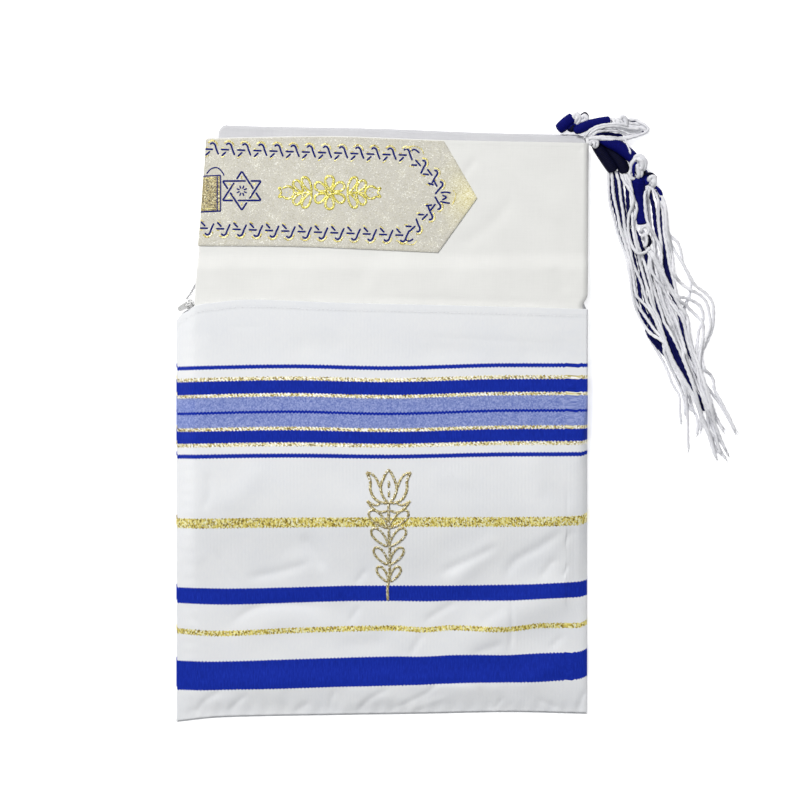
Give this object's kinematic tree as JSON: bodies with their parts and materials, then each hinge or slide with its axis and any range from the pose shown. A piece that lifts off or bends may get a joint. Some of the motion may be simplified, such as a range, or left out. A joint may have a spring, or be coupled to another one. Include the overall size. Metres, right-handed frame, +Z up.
{
  "type": "folded tallit prayer shawl in its open zip bag",
  "caption": "Folded white prayer shawl with a lurex neckband and corner tassels, standing out of the open mouth of its matching striped zip bag.",
  "frame": {"origin": "underside of the bag's back panel, at the middle of the bag, where the part rests", "axes": "+X across the bag towards the tassels, +Y from the bag's bottom to its mouth, +Z up from the surface it lies on"},
  "size_m": [0.4226, 0.4617, 0.0177],
  "materials": {
    "bag_cloth": "white ribbed woven cloth with royal blue, chambray and gold lurex stripes",
    "zip_tape": "white woven zip tape",
    "slider_enamel": "white enamel",
    "pull_metal": "nickel plated",
    "shawl_cloth": "fine white woven cloth, soft sheen",
    "neckband": "silver-gold lurex brocade",
    "winding_thread": "dark blue wound thread with white knots",
    "tassel_thread": "white twisted cord"
  },
  "bodies": {
    "shawl_and_bag": {"bag_front": "bag_cloth", "bag_back": "bag_cloth", "zip_tape_front": "zip_tape", "zip_tape_back": "zip_tape", "zip_slider": "slider_enamel", "shawl_front_layer": "shawl_cloth", "shawl_folded_layers": "shawl_cloth", "atarah_neckband": "neckband", "tassel_a_winding": "winding_thread", "tassel_a_link": "winding_thread", "tassel_b_winding": "winding_thread", "tassel_c_winding": "winding_thread", "tassel_d_winding": "winding_thread", "tassel_a_strands": "tassel_thread", "tassel_b_strands": "tassel_thread", "tassel_c_strands": "tassel_thread", "tassel_d_strands": "tassel_thread"},
    "pull_tab": {"zip_pull": "pull_metal"}
  },
  "joints": [
    {"name": "pull_hinge", "type": "hinge", "parent": "shawl_and_bag", "child": "pull_tab", "pos_m": [-0.14627, 0.15781, 0.0068], "axis": [-0.4226, 0.9063, 0], "range_deg": [0, 145]}
  ]
}
